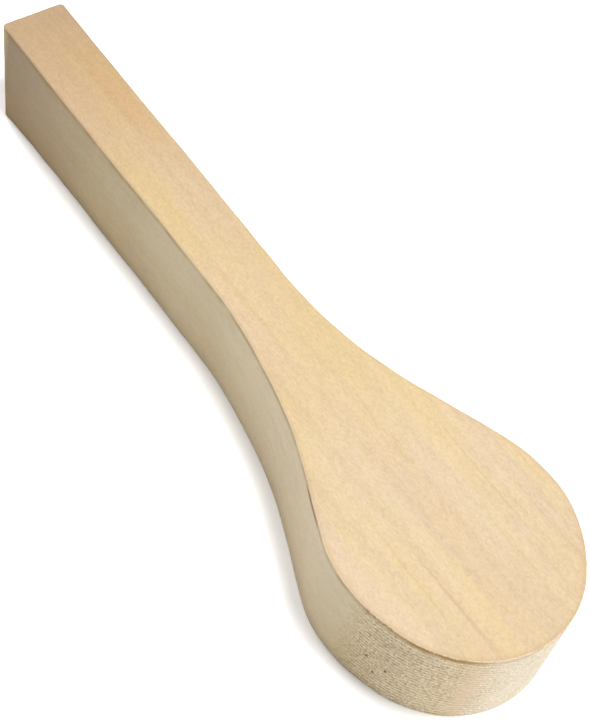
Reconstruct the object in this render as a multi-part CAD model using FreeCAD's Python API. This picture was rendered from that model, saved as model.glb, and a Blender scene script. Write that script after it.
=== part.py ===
import FreeCAD, Part
import math
import os

# A spoon-carving blank: one solid piece of planed board, sawn square to a spoon's outline.
# The frame has +X along the length towards the bowl end, +Z up through the board's
# thickness, and the origin at the middle of the length on the underside.

# Driving dimensions, in millimetres and degrees.
LENGTH = 220.0             # from the sawn handle end to the tip of the bowl end
BOWL_WIDTH = 60.0          # across the widest line of the bowl end
THICKNESS = 30.0           # the planed board
HANDLE_END_WIDTH = 19.0    # across the sawn end of the handle
HANDLE_MID_WIDTH = 18.4    # across the handle at the middle of the length
TIP_REACH = 34.0           # from the bowl's widest line to its tip
NECK_RADIUS = 128.0        # hollow curve between the handle and the bowl
FLANK_ANGLE = 23.5         # slope of the bowl's straight flanks against the length
END_CUT_LEAN = 4.0         # how far the end cut runs under between the top and the underside
CORNER_RADIUS = 1.2        # worn upright corners of the handle end
ARRIS_RADIUS = 0.4         # eased edges around the top and the underside

# Positions that follow from the dimensions.
HANDLE_END_X = -LENGTH / 2
TIP_X = LENGTH / 2
BOWL_CENTRE_X = TIP_X - TIP_REACH
HANDLE_SLOPE = (HANDLE_MID_WIDTH - HANDLE_END_WIDTH) / LENGTH


def bowl_tangent_angle():
    """The angle on the bowl's ellipse where the straight flank leaves it."""
    steepness = math.tan(math.radians(FLANK_ANGLE)) * TIP_REACH / (BOWL_WIDTH / 2)
    return math.pi / 2 + math.atan(steepness)


def flank_start():
    """The point on the +Y side where the ellipse ends and the straight flank begins."""
    angle = bowl_tangent_angle()
    x = BOWL_CENTRE_X + TIP_REACH * math.cos(angle)
    y = BOWL_WIDTH / 2 * math.sin(angle)
    return FreeCAD.Vector(x, y, 0)


def neck_points():
    """The start, middle and end of the hollow neck arc on the +Y side, from the handle on."""
    flank = flank_start()
    flank_slope = math.tan(math.radians(FLANK_ANGLE))
    rise = flank.y - HANDLE_END_WIDTH / 2 - flank_slope * (flank.x - HANDLE_END_X)
    meet_run = rise / (HANDLE_SLOPE - flank_slope)
    meet = FreeCAD.Vector(HANDLE_END_X + meet_run, HANDLE_END_WIDTH / 2 + HANDLE_SLOPE * meet_run, 0)
    start_angle = math.atan(HANDLE_SLOPE)
    turn = math.radians(FLANK_ANGLE) - start_angle
    tangent_length = NECK_RADIUS * math.tan(turn / 2)
    start = meet - FreeCAD.Vector(math.cos(start_angle), math.sin(start_angle), 0) * tangent_length
    centre = start + FreeCAD.Vector(-math.sin(start_angle), math.cos(start_angle), 0) * NECK_RADIUS
    points = []
    for share in (0.0, 0.5, 1.0):
        angle = start_angle + turn * share
        points.append(centre + FreeCAD.Vector(math.sin(angle), -math.cos(angle), 0) * NECK_RADIUS)
    return points


def mirrored(point):
    """The same point on the other side of the length axis."""
    return FreeCAD.Vector(point.x, -point.y, point.z)


def outline():
    """The closed outline on the underside: end cut, handle sides, necks, flanks and bowl."""
    end_corner = FreeCAD.Vector(HANDLE_END_X, HANDLE_END_WIDTH / 2, 0)
    neck_start, neck_middle, neck_end = neck_points()
    flank = flank_start()
    ellipse = Part.Ellipse(FreeCAD.Vector(BOWL_CENTRE_X, 0, 0), TIP_REACH, BOWL_WIDTH / 2)
    tangent_angle = bowl_tangent_angle()
    edges = [
        Part.LineSegment(mirrored(end_corner), end_corner).toShape(),
        Part.ArcOfEllipse(ellipse, -tangent_angle, tangent_angle).toShape(),
    ]
    for side in (FreeCAD.Vector, mirrored):
        edges.append(Part.LineSegment(side(end_corner), side(neck_start)).toShape())
        edges.append(Part.Arc(side(neck_start), side(neck_middle), side(neck_end)).toShape())
        edges.append(Part.LineSegment(side(neck_end), side(flank)).toShape())
    return Part.Wire(Part.__sortEdges__(edges))


def end_cut_waste():
    """The wedge that the leaning end cut takes off under the handle end."""
    corners = [
        FreeCAD.Vector(HANDLE_END_X, -BOWL_WIDTH / 2, THICKNESS),
        FreeCAD.Vector(HANDLE_END_X, -BOWL_WIDTH / 2, 0),
        FreeCAD.Vector(HANDLE_END_X + END_CUT_LEAN, -BOWL_WIDTH / 2, 0),
    ]
    triangle = Part.Face(Part.makePolygon(corners + corners[:1]))
    return triangle.extrude(FreeCAD.Vector(0, BOWL_WIDTH, 0))


def upright_corners(solid):
    """The two edges of the handle end that run from the underside to the top."""
    found = []
    for edge in solid.Edges:
        box = edge.BoundBox
        if box.ZLength > THICKNESS / 2 and box.XMax < HANDLE_END_X + 2 * END_CUT_LEAN:
            found.append(edge)
    return found


def face_edges(solid):
    """Every edge that lies flat in the top or in the underside."""
    return [edge for edge in solid.Edges if edge.BoundBox.ZLength < ARRIS_RADIUS / 10]


def spoon_blank():
    """The whole blank as one solid with its worn corners and eased edges."""
    solid = Part.Face(outline()).extrude(FreeCAD.Vector(0, 0, THICKNESS))
    solid = solid.cut(end_cut_waste())
    solid = solid.makeFillet(CORNER_RADIUS, upright_corners(solid))
    return solid.makeFillet(ARRIS_RADIUS, face_edges(solid))


os.makedirs("parts", exist_ok=True)
spoon_blank().exportStep("parts/spoon_blank.step")
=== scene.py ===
"""The looks of a spoon-carving blank: one piece of bare pale wood, planed on top and
underneath and sawn to outline, lying on a white floor in soft studio light."""
import math

import bpy
import numpy as np
from mathutils import Matrix, Vector


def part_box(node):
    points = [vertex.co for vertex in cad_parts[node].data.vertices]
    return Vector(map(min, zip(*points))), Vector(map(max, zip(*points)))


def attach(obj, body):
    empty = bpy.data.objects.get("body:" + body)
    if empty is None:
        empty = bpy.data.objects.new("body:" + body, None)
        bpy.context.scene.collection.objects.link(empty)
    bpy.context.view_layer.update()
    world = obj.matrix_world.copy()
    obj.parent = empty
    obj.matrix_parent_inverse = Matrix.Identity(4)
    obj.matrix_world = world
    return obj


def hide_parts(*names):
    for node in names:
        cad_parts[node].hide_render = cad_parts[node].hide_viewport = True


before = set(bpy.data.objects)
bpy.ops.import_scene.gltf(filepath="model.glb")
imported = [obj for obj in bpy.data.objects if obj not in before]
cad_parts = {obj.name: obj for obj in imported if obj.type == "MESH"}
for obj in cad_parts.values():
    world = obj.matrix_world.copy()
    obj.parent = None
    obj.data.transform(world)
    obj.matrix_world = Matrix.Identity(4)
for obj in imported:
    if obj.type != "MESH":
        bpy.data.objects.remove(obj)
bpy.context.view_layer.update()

NODE = "spoon_blank"
MM = 0.001

# The blank's box, from the frame, and the outline's driving dimensions, in metres.
LOW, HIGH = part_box(NODE)
THICKNESS = HIGH.z - LOW.z
BOWL_HALF_WIDTH = HIGH.y
HANDLE_END_HALF_WIDTH = 9.5 * MM
HANDLE_MID_HALF_WIDTH = 9.2 * MM
TIP_REACH = 34.0 * MM
NECK_RADIUS = 128.0 * MM
FLANK_ANGLE = math.radians(23.5)
END_CUT_LEAN = 4.0 * MM
CORNER_RADIUS = 1.2 * MM
ARRIS_RADIUS = 0.35 * MM
BOWL_CENTRE_X = HIGH.x - TIP_REACH

# How finely the surface is divided, in metres, and in rows and rings.
END_SPACING = 0.5 * MM
SIDE_SPACING = 1.4 * MM
BOWL_SPACING = 0.65 * MM
WALL_ROWS = 84
ARRIS_ROWS = 4
FACE_RINGS = 16
CORNER_POINTS = 9
# How much the face rings crowd towards the edge (1 is even), and where the middle line that
# they close in to ends inside the bowl.
RING_CROWDING = 1.4
MIDDLE_END_X = BOWL_CENTRE_X + 4 * MM

# The growth rings: how far below the underside and to which side the tree's pith lay.
RING_WIDTH = 1.25 * MM
PITH_DEPTH = 104.0 * MM
PITH_Y = -30.0 * MM
PITH_TILT = -0.004
# How far the rings bend along the wood and swirl across it.
LONG_BEND = 0.22 * MM
SHORT_BEND = 0.12 * MM
SWIRL = 0.30 * MM
# Where in a ring, as a share of its width, the dense late wood peaks, and how dense it is there.
LATE_PEAK_AT = 0.92
LATE_PEAK = 0.78
# The shares of a ring's width over which its late wood shows and fades again in the colour,
# and how many rings the colour wanders by.
LATE_FADE_IN = (0.45, 0.85)
LATE_FADE_OUT = (1.0, 0.88)
RING_WANDER = 0.7

# Colours of the wood, as linear red, green and blue.
WHITE = (1.0, 1.0, 1.0)
YELLOW_WOOD = (0.515, 0.396, 0.232, 1)
PINK_WOOD = (0.504, 0.387, 0.270, 1)
ORANGE_WOOD = (0.50, 0.33, 0.18, 1)
BROWN_GRAIN = (0.42, 0.29, 0.17, 1)
PALE_GRAIN = (0.53, 0.43, 0.29, 1)
PINK_END = (0.58, 0.43, 0.31, 1)
BROWN_EDGE = (0.30, 0.155, 0.045, 1)
RIM_TINT = (0.40, 0.25, 0.12, 1)
TORN_FIBRE = (0.24, 0.12, 0.05, 1)
PIT = (0.13, 0.065, 0.03, 1)
# The painted shade at the walls' foot.
LOW_WALL_PAINTED_SHADE = (0.25, 0.12, 0.0, 1)
# What the wood is multiplied by where it varies most.
DARKER = (0.50, 0.44, 0.31, 1)
PALER = (1.50, 1.56, 1.69, 1)
# How the handle darkens and warms towards its end, on the top and on the walls. This is partly the
# wood's own warmer tone and partly painted shade where the light falls off towards the handle end.
# The top's last stop paints a little shade at the tip, and the walls' first stop paints a highlight
# on the end corner. Distance along X in metres, and the colour that the wood is multiplied by.
TOP_TONE_AND_PAINTED_SHADE = (
    (-0.105, (0.72, 0.65, 0.57)),
    (-0.075, (0.84, 0.77, 0.68)),
    (-0.040, (0.91, 0.88, 0.79)),
    (-0.005, (0.97, 0.95, 0.88)),
    (0.030, (0.98, 0.97, 0.90)),
    (0.060, WHITE),
    (0.085, WHITE),
    (0.104, (0.96, 0.95, 0.93)),
)
WALL_TONE_AND_PAINTED_LIGHT = (
    (-0.110, (0.92, 0.88, 0.84)),
    (-0.106, (0.54, 0.48, 0.46)),
    (-0.060, (0.81, 0.77, 0.72)),
    (-0.020, (0.97, 0.96, 0.95)),
    (0.020, WHITE),
)
# The walls' colour and how speckled they are, from facing the handle end (0) to the tip (1). The
# colour is partly the end grain's own tone and partly painted light and shade for the way each wall
# faces, with a painted highlight where it faces the tip.
SAWN_TONE_AND_PAINTED_LIGHT = (
    (0.00, (0.416, 0.352, 0.277)),
    (0.28, (0.500, 0.420, 0.297)),
    (0.45, (0.546, 0.464, 0.319)),
    (0.51, (0.542, 0.459, 0.309)),
    (0.57, (0.493, 0.403, 0.261)),
    (0.68, (0.457, 0.369, 0.240)),
    (0.80, (0.467, 0.380, 0.250)),
    (0.87, (0.469, 0.379, 0.243)),
    (0.92, (0.502, 0.406, 0.269)),
    (0.98, (0.557, 0.483, 0.367)),
)
SPECKLE_STRENGTHS = (
    (0.00, 0.7),
    (0.25, 0.12),
    (0.505, 0.08),
    (0.58, 0.8),
    (0.62, 1.0),
    (0.84, 0.9),
    (0.90, 0.7),
    (1.00, 0.5),
)
# How strongly the walls' top edge is browned, by the same measure.
EDGE_STRENGTHS = (
    (0.00, 0.50),
    (0.52, 0.50),
    (0.60, 0.85),
    (0.88, 0.85),
    (0.95, 0.30),
)
# Soft lines on the top: centre, reach in millimetres, turn in degrees, strength and colour.
TOP_LINES = (
    ((91.0, -11.1, 30), (24, 0.7, 1), 1.4, 0.40, BROWN_GRAIN),
    ((81.0, -15.4, 30), (22, 0.6, 1), 0.0, 0.30, BROWN_GRAIN),
    ((68.0, 15.8, 30), (28, 0.5, 1), 0.0, 0.35, BROWN_GRAIN),
    ((77.0, 8.5, 30), (22, 1.3, 1), 3.0, 0.50, PALE_GRAIN),
    ((72.0, -7.5, 30), (36, 1.6, 1), 0.0, 0.45, PALE_GRAIN),
    ((72.0, -0.5, 30), (44, 6.5, 3), 0.0, 0.15, BROWN_GRAIN),
    ((-73.0, 4.5, 30), (32, 4.0, 9), 2.0, 0.45, ORANGE_WOOD),
)
# A sliver torn out of the top edge, and a pink spot on the bowl's end: centre and reach in
# millimetres, and strength.
SLIVER = ((54.0, -23.5, 28.8), (7.5, 1.5, 0.9), 0.85)
PINK_SPOT = ((105.7, -15.3, 15), (3.0, 4.5, 17), 0.55)
# Small dark pits: their reach and their centres in millimetres.
PIT_REACH = (0.50, 0.50, 0.50)
PITS = ((85.9, -28.2, 12.5), (91.1, -26.5, 11.6), (88.7, -27.4, 7.7))

# Relief of the cut surfaces.
SAW_WOBBLE = 0.10 * MM
# The saw's waves along the wall: share of the wobble, length over 2 pi, slant with height, phase.
SAW_WAVES = (
    (0.5, 5.2 * MM, 14.0, 0.0),
    (0.8, 11.7 * MM, 0.0, 1.3),
    (0.3, 2.1 * MM, -40.0, 0.0),
)
# Where the sawing strayed sideways: distance, place along X and reach.
SAW_WANDERS = ((-0.6 * MM, 20.0 * MM, 18.0 * MM), (0.5 * MM, 84.0 * MM, 12.0 * MM))
END_SPLAY = 1.2 * MM
END_SPLAY_REACH = 50.0 * MM
END_CUT_REACH = 20.0 * MM
ARRIS_UNEVENNESS = 0.25
RING_RELIEF = 0.04 * MM

# How strongly the rims of the top and the underside are tinted, and the share of that one ring
# further in.
RIM_STRENGTH = 0.30
RIM_SHARE_INSIDE = 0.4
# The brown line below the top edge: the heights in metres that it fades in and out over.
LINE_FADE_IN = (0.0278, 0.0291)
LINE_FADE_OUT = (0.0299, 0.0297)
# Painted shade at the walls' foot: how much darker and warmer the walls are there, the heights in
# metres that this fades over, and the turn towards the tip that it fades over: from the bowl's end
# (0.70) to the sides (0.58).
LOW_WALL_SHADE_STRENGTH = 0.19
LOW_WALL_SHADE_FADE = (0.026, 0.002)
LOW_WALL_SHADE_TURN = (0.70, 0.58)

# The wood's gloss and fine relief. The fuzz adds its share to the roughness.
WOOD_ROUGHNESS = 0.70
FUZZ_ROUGHNESS = 0.16
WOOD_SPECULAR = 0.10
BUMP_STRENGTH = 0.5
BUMP_DISTANCE = 0.10 * MM

# The camera and the lights, in metres and degrees.
CAMERA_AIM = Vector((21.4, -4.0, 15.0)) * MM
CAMERA_DISTANCE = 401.9 * MM
CAMERA_AZIMUTH = 41.24
CAMERA_ELEVATION = 54.98
CAMERA_ROLL = 15.82
CAMERA_LENS = 81.09
CAMERA_SHIFT = (0.0069, 0.0556)
LAMP_AIM = Vector((20.6, -3.7, 15.0)) * MM
FLOOR_SIZE = 12.0
FLOOR_GAP = 0.05 * MM
FLOOR_COLOUR = (0.97, 0.97, 0.97, 1)
FLOOR_ROUGHNESS = 0.9
FLOOR_SPECULAR = 0.1
# The floor glows of itself from here on out, so that it stays pale beyond the lamps' reach.
GLOW_START = 0.35
GLOW_FULL = 0.8
# The faint light from all round, and how bright the backdrop looks to the camera.
SURROUND_LIGHT = 0.05
BACKDROP_LIGHT = 1.0
# Soft round lamps aimed at the blank: name, azimuth from +X, elevation, distance, width, watts.
LAMPS = (
    ("overhead", 36.0, 79.0, 0.75, 0.20, 5.86),
    ("handle_fill", 180.0, 20.0, 0.75, 0.40, 5.19),
    ("side_fill", 315.0, 48.0, 0.75, 0.40, 1.97),
    ("tip_fill", 20.0, 8.0, 0.75, 0.30, 2.77),
)


# ---------------------------------------------------------------- the outline

def line_points(start, end, spacing):
    """Points along a straight run, without its last point."""
    start = np.array(start)
    end = np.array(end)
    count = max(2, round(float(np.hypot(*(end - start))) / spacing))
    shares = np.arange(count)[:, None] / count
    return start + (end - start) * shares


def turned(angle):
    """The direction at this angle from +X."""
    return np.array((math.cos(angle), math.sin(angle)))


def neck_arc():
    """The hollow neck on the +Y side: its centre and its first and last angle."""
    slope = (HANDLE_MID_HALF_WIDTH - HANDLE_END_HALF_WIDTH) / (-LOW.x)
    flank_x, flank_y = bowl_point(bowl_tangent())
    rise = flank_y - HANDLE_END_HALF_WIDTH - math.tan(FLANK_ANGLE) * (flank_x - LOW.x)
    run = rise / (slope - math.tan(FLANK_ANGLE))
    meet = np.array((LOW.x + run, HANDLE_END_HALF_WIDTH + slope * run))
    handle_angle = math.atan(slope)
    tangent_length = NECK_RADIUS * math.tan((FLANK_ANGLE - handle_angle) / 2)
    start = meet - turned(handle_angle) * tangent_length
    centre = start + turned(handle_angle + math.pi / 2) * NECK_RADIUS
    return centre, handle_angle - math.pi / 2, FLANK_ANGLE - math.pi / 2


def bowl_tangent():
    """The angle on the bowl's ellipse where the straight flank meets it."""
    return math.pi / 2 + math.atan(math.tan(FLANK_ANGLE) * TIP_REACH / BOWL_HALF_WIDTH)


def bowl_point(angle):
    """The point at this angle on the bowl's ellipse."""
    return (
        BOWL_CENTRE_X + TIP_REACH * math.cos(angle),
        BOWL_HALF_WIDTH * math.sin(angle),
    )


def half_outline():
    """The +Y half of the outline, from the middle of the handle end to the bowl's tip."""
    corner_x = LOW.x + CORNER_RADIUS
    corner_y = HANDLE_END_HALF_WIDTH - CORNER_RADIUS
    corner_angles = math.pi - np.linspace(0, math.pi / 2, CORNER_POINTS)[:-1]
    corner = np.stack((
        corner_x + CORNER_RADIUS * np.cos(corner_angles),
        corner_y + CORNER_RADIUS * np.sin(corner_angles),
    ), axis=1)
    centre, first_angle, last_angle = neck_arc()
    neck_length = NECK_RADIUS * (last_angle - first_angle)
    neck_angles = np.linspace(first_angle, last_angle, round(neck_length / SIDE_SPACING))[:-1]
    neck = centre + NECK_RADIUS * np.stack((np.cos(neck_angles), np.sin(neck_angles)), axis=1)
    neck_end = centre + NECK_RADIUS * turned(last_angle)
    flank_end = bowl_point(bowl_tangent())
    bowl_length = (TIP_REACH + BOWL_HALF_WIDTH) / 2 * bowl_tangent()
    bowl_angles = np.linspace(bowl_tangent(), 0, round(bowl_length / BOWL_SPACING))
    bowl = np.array([bowl_point(angle) for angle in bowl_angles])
    return np.concatenate((
        line_points((LOW.x, 0), (LOW.x, corner_y), END_SPACING),
        corner,
        line_points((corner_x, HANDLE_END_HALF_WIDTH), neck[0], SIDE_SPACING),
        neck,
        line_points(neck_end, flank_end, SIDE_SPACING),
        bowl,
    ))


def whole_outline():
    """The closed outline as points, outward normals and the distance run along it."""
    half = half_outline()
    points = np.concatenate((half, half[-2:0:-1] * (1, -1)))
    ahead = np.roll(points, -1, axis=0)
    behind = np.roll(points, 1, axis=0)
    tangents = ahead - behind
    tangents /= np.hypot(tangents[:, 0], tangents[:, 1])[:, None]
    normals = np.stack((-tangents[:, 1], tangents[:, 0]), axis=1)
    steps = points - behind
    run = np.cumsum(np.hypot(steps[:, 0], steps[:, 1]))
    return points, normals, run


# ---------------------------------------------------------------- the wood's grain

def ring_number(x, y, z):
    """Which growth ring a point lies in, counted outwards from the pith, as a real number."""
    bend = LONG_BEND * np.sin(x / 0.041 + 0.4) + SHORT_BEND * np.sin(x / 0.019 + y / 0.011 + 1.9)
    swirl = SWIRL * np.sin(y / 0.0062 + x / 0.085 + z / 0.021)
    radius = np.hypot(y - PITH_Y, z + PITH_DEPTH) + PITH_TILT * x + bend + swirl
    return radius / RING_WIDTH + 0.35 * np.sin(radius / 0.0063)


def latewood(ring):
    """How far into its dense late wood a ring is, from 0 to 1."""
    part = ring % 1.0
    fall = (1.0 - part) / (1.0 - LATE_PEAK_AT) * LATE_PEAK
    return np.where(part < LATE_PEAK_AT, part ** 3, fall)


# ---------------------------------------------------------------- the mesh

def bump(value, centre, width):
    """A smooth hump of height 1."""
    return np.exp(-((value - centre) / width) ** 2)


def centre_wander(x):
    """How far the sawing strayed sideways, in metres."""
    return sum(distance * bump(x, centre, reach) for distance, centre, reach in SAW_WANDERS)


def saw_wobble(run, z):
    """Small waves that the hand-fed saw left along the wall, in metres."""
    waves = sum(share * np.sin(run / length + slant * z + phase)
                for share, length, slant, phase in SAW_WAVES)
    return SAW_WOBBLE * waves


def end_splay(flat, z):
    """How far the -Y wall leans out at its foot towards the handle end, in metres."""
    near_end = np.clip(1 - (flat[:, 0] - LOW.x) / END_SPLAY_REACH, 0, 1)
    share = np.clip(-flat[:, 1] / HANDLE_END_HALF_WIDTH, 0, 1)
    return END_SPLAY * near_end ** 2 * share * (HIGH.z - z) / THICKNESS


def arris_radius(run):
    """The worn radius of the top and bottom edges along the outline, in metres."""
    waves = np.sin(run / (3.1 * MM)) * np.sin(run / (8.3 * MM) + 2.0)
    return ARRIS_RADIUS * (1.0 + ARRIS_UNEVENNESS * waves)


def wall_profile():
    """Rows from the top face's edge to the underside's: (height share, inset share, lift share).

    Height runs along the straight wall from 1 at the top to 0; inset and lift are shares of
    the arris radius, inwards from the wall and away from the wall's end."""
    rows = []
    for step in range(ARRIS_ROWS):
        angle = math.pi / 2 * (1 - step / ARRIS_ROWS)
        rows.append((1.0, 1 - math.cos(angle), math.sin(angle)))
    for step in range(WALL_ROWS + 1):
        rows.append((1 - step / WALL_ROWS, 0.0, 0.0))
    for step in range(1, ARRIS_ROWS + 1):
        angle = math.pi / 2 * step / ARRIS_ROWS
        rows.append((0.0, 1 - math.cos(angle), -math.sin(angle)))
    return rows


def wall_row(outline, share, inset_share, lift_share):
    """One loop of the wall as an array of points."""
    points, normals, run = outline
    radius = arris_radius(run)
    z = LOW.z + radius + share * (THICKNESS - 2 * radius) + lift_share * radius
    end_grain = normals[:, 0] ** 2
    ring = ring_number(points[:, 0], points[:, 1], z)
    relief = RING_RELIEF * end_grain * latewood(ring)
    offset = saw_wobble(run, z) + relief - inset_share * radius
    flat = points + normals * offset[:, None]
    near_end = np.clip(1 - (flat[:, 0] - LOW.x) / END_CUT_REACH, 0, 1)
    x = flat[:, 0] + END_CUT_LEAN * near_end * (HIGH.z - z) / THICKNESS
    y = flat[:, 1] + centre_wander(flat[:, 0]) - end_splay(flat, z)
    return np.stack((x, y, z), axis=1)


def face_middle(x):
    """Where a face's rings close in to: the nearest point of the blank's middle line."""
    return np.clip(x, LOW.x + HANDLE_END_HALF_WIDTH, MIDDLE_END_X)


class Surface:
    """The growing lists of points and faces."""

    def __init__(self):
        self.points = []
        self.faces = []

    def add_points(self, points):
        first = len(self.points)
        self.points.extend(points.tolist())
        return np.arange(first, len(self.points))

    def add_band(self, upper, lower):
        """Faces between two closed loops of point numbers. A pair that has met makes a triangle."""
        count = len(upper)
        for column in range(count):
            following = (column + 1) % count
            corners = (upper[column], upper[following], lower[following], lower[column])
            distinct = list(dict.fromkeys(int(corner) for corner in corners))
            if len(distinct) > 2:
                self.faces.append(distinct)


def add_face_rings(surface, edge, outline_x, facing):
    """Closes the top (facing 1) or the underside (facing -1) from its edge loop inwards.

    The middle line follows the even outline, not the wavy edge, so both halves share its points.
    Gives back the point numbers of the first ring inside the edge."""
    rim = np.array([surface.points[number] for number in edge])
    middle_x = face_middle(outline_x)
    middle = np.stack((middle_x, centre_wander(middle_x), rim[:, 2]), axis=1)
    previous = edge
    first_loop = len(surface.points)
    for ring in range(1, FACE_RINGS):
        share = (ring / FACE_RINGS) ** RING_CROWDING
        loop = surface.add_points(rim + (middle - rim) * share)
        bands = (loop, previous) if facing > 0 else (previous, loop)
        surface.add_band(*bands)
        previous = loop
    level = float(rim[:, 2].mean())
    places = sorted(set(np.round(middle_x, 7).tolist()))
    rows = np.array([(x, float(centre_wander(x)), level) for x in places])
    numbers = dict(zip(places, surface.add_points(rows)))
    last = np.array([numbers[x] for x in np.round(middle_x, 7).tolist()])
    bands = (last, previous) if facing > 0 else (previous, last)
    surface.add_band(*bands)
    return np.arange(first_loop, first_loop + len(edge))


def set_attribute(mesh, name, values):
    """Stores one number per point for the material."""
    attribute = mesh.attributes.new(name=name, type="FLOAT", domain="POINT")
    attribute.data.foreach_set("value", np.asarray(values, np.float32))


def build_blank():
    """The blank's whole closed surface as one object."""
    outline = whole_outline()
    surface = Surface()
    loops = [surface.add_points(wall_row(outline, *row)) for row in wall_profile()]
    for upper, lower in zip(loops, loops[1:]):
        surface.add_band(upper, lower)
    outline_x = outline[0][:, 0]
    first_rings = (
        add_face_rings(surface, loops[0], outline_x, 1),
        add_face_rings(surface, loops[-1], outline_x, -1),
    )
    mesh = bpy.data.meshes.new("spoon_blank_wood")
    mesh.from_pydata(surface.points, [], surface.faces)
    mesh.shade_smooth()
    points = np.array(surface.points)
    wall = np.zeros(len(points))
    rim = np.zeros(len(points))
    tipward = np.full(len(points), 0.5)
    normals = outline[1]
    for loop in loops[ARRIS_ROWS // 2:len(loops) - ARRIS_ROWS // 2]:
        wall[loop] = 1.0
        tipward[loop] = (1 + normals[:, 0]) / 2
    for edge, first_ring in zip((loops[0], loops[-1]), first_rings):
        rim[edge] = 1.0
        rim[first_ring] = RIM_SHARE_INSIDE
    set_attribute(mesh, "ring", ring_number(points[:, 0], points[:, 1], points[:, 2]))
    set_attribute(mesh, "wall", wall)
    set_attribute(mesh, "rim", rim)
    set_attribute(mesh, "tipward", tipward)
    blank = bpy.data.objects.new("spoon_blank_wood", mesh)
    bpy.context.scene.collection.objects.link(blank)
    return blank


# ---------------------------------------------------------------- materials

class Shader:
    """A material's node tree, with short ways to add what the wood needs."""

    def __init__(self, name):
        self.material = bpy.data.materials.new(name)
        self.material.use_nodes = True
        self.tree = self.material.node_tree
        self.principled = self.tree.nodes["Principled BSDF"]

    def add(self, kind, inputs=None, **settings):
        """Adds a node, sets its settings and fills its inputs with values or links."""
        node = self.tree.nodes.new(kind)
        for name, value in settings.items():
            setattr(node, name, value)
        for key, value in (inputs or {}).items():
            self.fill(node.inputs[key], value)
        return node

    def fill(self, socket, value):
        """Links an output into a socket, or sets the socket's own value."""
        if isinstance(value, bpy.types.NodeSocket):
            self.tree.links.new(value, socket)
        else:
            socket.default_value = value

    def attribute(self, name):
        return self.add("ShaderNodeAttribute", attribute_name=name).outputs["Fac"]

    def axis(self, letter):
        """How far along one axis the point lies, in metres."""
        place = self.add("ShaderNodeTexCoord").outputs["Object"]
        return self.add("ShaderNodeSeparateXYZ", {0: place}).outputs[letter]

    def math(self, operation, *values):
        node = self.add("ShaderNodeMath", operation=operation)
        for socket, value in zip(node.inputs, values):
            self.fill(socket, value)
        return node.outputs[0]

    def remap(self, value, low, high, to_low=0.0, to_high=1.0):
        """Maps low..high to to_low..to_high and holds it there."""
        inputs = {0: value, 1: low, 2: high, 3: to_low, 4: to_high}
        return self.add("ShaderNodeMapRange", inputs, interpolation_type="SMOOTHSTEP").outputs[0]

    def mix(self, share, first, second, blend="MIX"):
        inputs = {0: share, 6: first, 7: second}
        node = self.add("ShaderNodeMix", inputs, data_type="RGBA", blend_type=blend)
        return node.outputs[2]

    def ramp(self, value, stops):
        """A colour read off along (place, colour) stops."""
        node = self.add("ShaderNodeValToRGB", {"Fac": value})
        elements = node.color_ramp.elements
        while len(elements) < len(stops):
            elements.new(1.0)
        for element, (place, colour) in zip(elements, stops):
            element.position = place
            element.color = (*colour, 1.0)
        return node.outputs["Color"]

    def strength(self, value, stops):
        """A number read off along (place, number) stops."""
        return self.ramp(value, [(place, (number, number, number)) for place, number in stops])

    def along_length(self, shades):
        """A colour that changes along X, from (distance in metres, colour) pairs."""
        first = shades[0][0]
        span = shades[-1][0] - first
        along = self.math("DIVIDE", self.math("SUBTRACT", self.axis("X"), first), span)
        return self.ramp(along, [((x - first) / span, colour) for x, colour in shades])

    def place(self, centre, reach, turn=0.0):
        """The point seen from a centre in millimetres, in units of reach, turned about Z."""
        inputs = {
            "Vector": self.add("ShaderNodeTexCoord").outputs["Object"],
            "Location": [MM * value for value in centre],
            "Rotation": (0.0, 0.0, math.radians(turn)),
            "Scale": [MM * value for value in reach],
        }
        return self.add("ShaderNodeMapping", inputs, vector_type="TEXTURE").outputs[0]

    def noise(self, grains, detail=2.0, roughness=0.5, offset=0.0):
        """Noise whose blobs measure grains = (x, y, z) in millimetres."""
        inputs = {
            "Vector": self.place((offset, 2 * offset, 3 * offset), grains),
            "Scale": 1.0,
            "Detail": detail,
            "Roughness": roughness,
        }
        return self.add("ShaderNodeTexNoise", inputs).outputs["Fac"]

    def spot(self, centre, reach, turn=0.0, hard=0.5):
        """1 inside a small ellipsoid and 0 outside it, with a soft rim."""
        inputs = {"Vector": self.place(centre, reach, turn)}
        node = self.add("ShaderNodeTexGradient", inputs, gradient_type="SPHERICAL")
        return self.remap(node.outputs["Fac"], 0.0, 1.0 - hard)

    def sum_of(self, terms, start=0.0):
        """The start and (value, weight) pairs added up, each value taken about its middle of 0.5."""
        result = start
        for value, weight in terms:
            result = self.math("MULTIPLY_ADD", self.math("SUBTRACT", value, 0.5), weight, result)
        return result

    def varied(self, colour, terms):
        """The colour made lighter and paler, or darker and warmer, by (noise, weight) pairs."""
        variation = self.mix(self.sum_of(terms, start=0.5), DARKER, PALER)
        return self.mix(1.0, colour, variation, "MULTIPLY")


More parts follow.
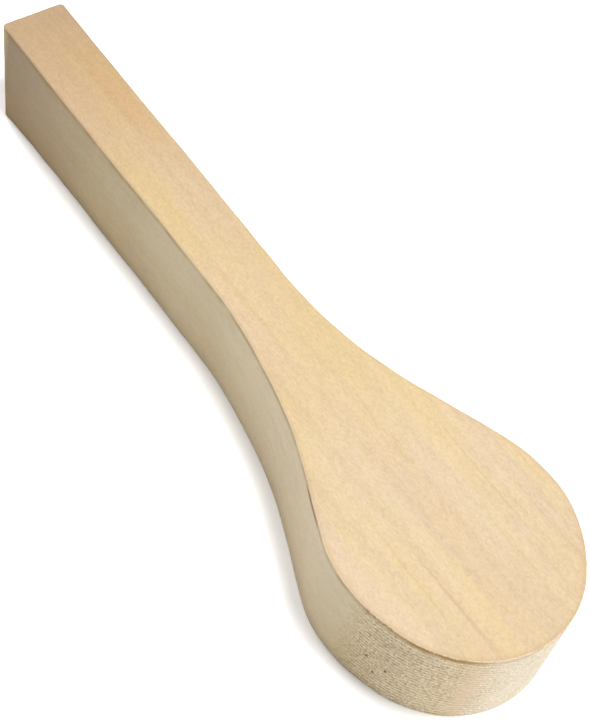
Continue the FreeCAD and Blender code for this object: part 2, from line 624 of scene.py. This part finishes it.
def planed_colour(shader, late):
    """The smooth top and underside: creamy, softly mottled, with fine flecks along the grain."""
    hue = shader.noise((45, 6, 6), 3.0, 0.5, offset=11.0)
    colour = shader.mix(shader.remap(hue, 0.28, 0.72), YELLOW_WOOD, PINK_WOOD)
    for centre, reach, turn, strength, line_colour in TOP_LINES:
        line = shader.spot(centre, reach, turn, hard=0.2)
        colour = shader.mix(shader.math("MULTIPLY", line, strength), colour, line_colour)
    colour = shader.varied(colour, (
        (shader.noise((60, 14, 14), 2.0, offset=1.0), 0.12),
        (shader.noise((110, 2.6, 5.0), 2.0, offset=3.7), 0.07),
        (shader.noise((8, 0.9, 0.9), 3.0, 0.6, offset=1.1), 0.06),
        (shader.noise((0.9, 0.42, 0.42), 2.0, 0.6, offset=5.3), 0.38),
        (shader.noise((3.2, 2.2, 2.2), 3.0, 0.6, offset=6.1), 0.10),
        (late, -0.03),
    ))
    rim = shader.remap(shader.attribute("rim"), 0.0, 1.0, 0.0, RIM_STRENGTH)
    colour = shader.mix(rim, colour, RIM_TINT)
    # Painted shade: the top darkens towards the handle end and at the tip, partly the wood's own
    # tone.
    return shader.mix(1.0, colour, shader.along_length(TOP_TONE_AND_PAINTED_SHADE), "MULTIPLY")


def sawn_colour(shader, late):
    """The sawn walls: greyer and blotchy, turning to speckled end grain round the bowl, with painted
    light and shade by the way each wall faces, along the handle and at the foot.
    """
    tipward = shader.attribute("tipward")
    # Painted light and shade by the way each wall faces, partly the end grain's own tone.
    colour = shader.ramp(tipward, SAWN_TONE_AND_PAINTED_LIGHT)
    speckle = shader.strength(tipward, SPECKLE_STRENGTHS)
    dots = shader.sum_of((
        (shader.noise((0.60, 0.60, 0.42), 2.0, 0.6, offset=8.1), 2.1),
        (shader.noise((1.4, 1.4, 0.36), 2.0, 0.5, offset=2.7), 0.7),
        (late, -0.32),
    ))
    dots = shader.math("MULTIPLY", dots, speckle)
    colour = shader.varied(colour, (
        (shader.noise((26, 9, 6), 2.0, offset=4.0), 0.16),
        (shader.noise((3.4, 3.4, 2.4), 3.0, 0.6, offset=9.4), 0.16),
        (shader.noise((0.7, 0.7, 0.45), 2.0, 0.6, offset=7.7), 0.20),
        (shader.math("ADD", dots, 0.5), 1.0),
    ))
    centre, reach, strength = PINK_SPOT
    pink = shader.spot(centre, reach, hard=0.1)
    colour = shader.mix(shader.math("MULTIPLY", pink, strength), colour, PINK_END)
    # Painted shade along the handle towards its end, partly the wood's own tone, and a painted
    # highlight on the end corner.
    colour = shader.mix(1.0, colour, shader.along_length(WALL_TONE_AND_PAINTED_LIGHT), "MULTIPLY")
    # Painted shade: the walls darken and warm towards their foot.
    low = shader.remap(shader.axis("Z"), *LOW_WALL_SHADE_FADE)
    low = shader.math("MULTIPLY", low, shader.remap(tipward, *LOW_WALL_SHADE_TURN))
    return shader.mix(shader.math("MULTIPLY", low, LOW_WALL_SHADE_STRENGTH), colour, LOW_WALL_PAINTED_SHADE)


def wood_material():
    """Pale close-grained wood: planed faces, duller sawn walls and speckled end grain."""
    shader = Shader("pale_wood")
    wall = shader.attribute("wall")
    wander = shader.noise((5, 5, 3), 2.0, offset=13.0)
    ring = shader.math("MULTIPLY_ADD", wander, RING_WANDER, shader.attribute("ring"))
    part = shader.math("FRACT", ring)
    shown = shader.remap(part, *LATE_FADE_IN)
    late = shader.math("MULTIPLY", shown, shader.remap(part, *LATE_FADE_OUT))
    colour = shader.mix(wall, planed_colour(shader, late), sawn_colour(shader, late))

    height = shader.axis("Z")
    fade_in = shader.remap(height, *LINE_FADE_IN)
    line = shader.math("MULTIPLY", fade_in, shader.remap(height, *LINE_FADE_OUT))
    patches = shader.remap(shader.noise((7, 7, 30), 2.0, offset=3.3), 0.35, 0.60, 0.40, 1.0)
    edge_strength = shader.strength(shader.attribute("tipward"), EDGE_STRENGTHS)
    line = shader.math("MULTIPLY", shader.math("MULTIPLY", line, patches), edge_strength)
    colour = shader.mix(shader.math("MULTIPLY", line, wall), colour, BROWN_EDGE)
    centre, reach, strength = SLIVER
    sliver = shader.spot(centre, reach, turn=-math.degrees(FLANK_ANGLE))
    colour = shader.mix(shader.math("MULTIPLY", sliver, strength), colour, TORN_FIBRE)
    for centre in PITS:
        colour = shader.mix(shader.spot(centre, PIT_REACH), colour, PIT)

    fibres = shader.noise((11, 0.6, 0.6), 3.0, 0.6, offset=1.1)
    hairs = shader.noise((3.2, 0.2, 0.2), 2.0, offset=5.3)
    fuzz = shader.noise((0.6, 0.6, 0.3), 2.0, offset=8.1)
    planed_height = shader.sum_of(((fibres, 0.4), (hairs, 0.6)))
    sawn_height = shader.sum_of(((late, 0.15), (fuzz, 1.3)))
    relief = shader.add("ShaderNodeMix", {0: wall, 2: planed_height, 3: sawn_height}).outputs[0]
    bump_inputs = {"Height": relief, "Strength": BUMP_STRENGTH, "Distance": BUMP_DISTANCE}
    bumps = shader.add("ShaderNodeBump", bump_inputs)

    shader.fill(shader.principled.inputs["Base Color"], colour)
    roughness = shader.math("MULTIPLY_ADD", fuzz, FUZZ_ROUGHNESS, WOOD_ROUGHNESS)
    shader.fill(shader.principled.inputs["Roughness"], roughness)
    shader.fill(shader.principled.inputs["Normal"], bumps.outputs[0])
    shader.fill(shader.principled.inputs["Specular IOR Level"], WOOD_SPECULAR)
    return shader.material


def floor_material():
    """A matt white studio sweep, lit from within far from the blank."""
    shader = Shader("white_floor")
    along = shader.math("POWER", shader.axis("X"), 2.0)
    across = shader.math("POWER", shader.axis("Y"), 2.0)
    distance = shader.math("SQRT", shader.math("ADD", along, across))
    glow = shader.remap(distance, GLOW_START, GLOW_FULL)
    shader.fill(shader.principled.inputs["Base Color"], FLOOR_COLOUR)
    shader.fill(shader.principled.inputs["Roughness"], FLOOR_ROUGHNESS)
    shader.fill(shader.principled.inputs["Specular IOR Level"], FLOOR_SPECULAR)
    shader.fill(shader.principled.inputs["Emission Color"], (1.0, 1.0, 1.0, 1))
    shader.fill(shader.principled.inputs["Emission Strength"], glow)
    return shader.material


# ---------------------------------------------------------------- the studio

def add_floor():
    """A wide pale floor just under the underside."""
    half = FLOOR_SIZE / 2
    level = LOW.z - FLOOR_GAP
    mesh = bpy.data.meshes.new("studio_floor")
    corners = [(-half, -half, level), (half, -half, level), (half, half, level), (-half, half, level)]
    mesh.from_pydata(corners, [], [(0, 1, 2, 3)])
    floor = bpy.data.objects.new("studio_floor", mesh)
    floor.data.materials.append(floor_material())
    bpy.context.scene.collection.objects.link(floor)


def add_surround():
    """A faint even light from all round, in front of a pale backdrop."""
    world = bpy.data.worlds.new("white_surround")
    world.use_nodes = True
    nodes = world.node_tree.nodes
    strength = nodes.new("ShaderNodeMix")
    strength.inputs["A"].default_value = SURROUND_LIGHT
    strength.inputs["B"].default_value = BACKDROP_LIGHT
    seen = nodes.new("ShaderNodeLightPath").outputs["Is Camera Ray"]
    world.node_tree.links.new(seen, strength.inputs["Factor"])
    background = nodes["Background"]
    background.inputs["Color"].default_value = (1.0, 1.0, 1.0, 1.0)
    world.node_tree.links.new(strength.outputs["Result"], background.inputs["Strength"])
    bpy.context.scene.world = world


def add_lamps():
    """Soft round lamps, each turned towards the blank."""
    for name, azimuth, elevation, distance, width, watts in LAMPS:
        level = math.cos(math.radians(elevation))
        direction = Vector((
            level * math.cos(math.radians(azimuth)),
            level * math.sin(math.radians(azimuth)),
            math.sin(math.radians(elevation)),
        ))
        light = bpy.data.lights.new(name, "AREA")
        light.shape = "DISK"
        light.size = width
        light.energy = watts
        lamp = bpy.data.objects.new(name, light)
        lamp.location = LAMP_AIM + direction * distance
        lamp.rotation_mode = "QUATERNION"
        lamp.rotation_quaternion = direction.to_track_quat("Z", "Y")
        bpy.context.scene.collection.objects.link(lamp)


def add_camera():
    """The camera above the bowl, looking back along the handle, rolled a little."""
    azimuth = math.radians(CAMERA_AZIMUTH)
    elevation = math.radians(CAMERA_ELEVATION)
    back = Vector((
        math.sin(azimuth) * math.cos(elevation),
        -math.cos(azimuth) * math.cos(elevation),
        math.sin(elevation),
    ))
    right = Vector((math.cos(azimuth), math.sin(azimuth), 0))
    turn = Matrix.Rotation(math.radians(CAMERA_ROLL), 3, back)
    right = turn @ right
    up = back.cross(right)
    data = bpy.data.cameras.new("camera")
    data.lens = CAMERA_LENS
    data.shift_x, data.shift_y = CAMERA_SHIFT
    camera = bpy.data.objects.new("camera", data)
    rotation = Matrix((right, up, back)).transposed().to_4x4()
    camera.matrix_world = Matrix.Translation(CAMERA_AIM + back * CAMERA_DISTANCE) @ rotation
    bpy.context.scene.collection.objects.link(camera)
    bpy.context.scene.camera = camera


bpy.context.scene.view_settings.view_transform = "Standard"
add_camera()
add_surround()
add_lamps()
add_floor()
blank = build_blank()
blank.data.materials.append(wood_material())
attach(blank, "root")
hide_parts(NODE)
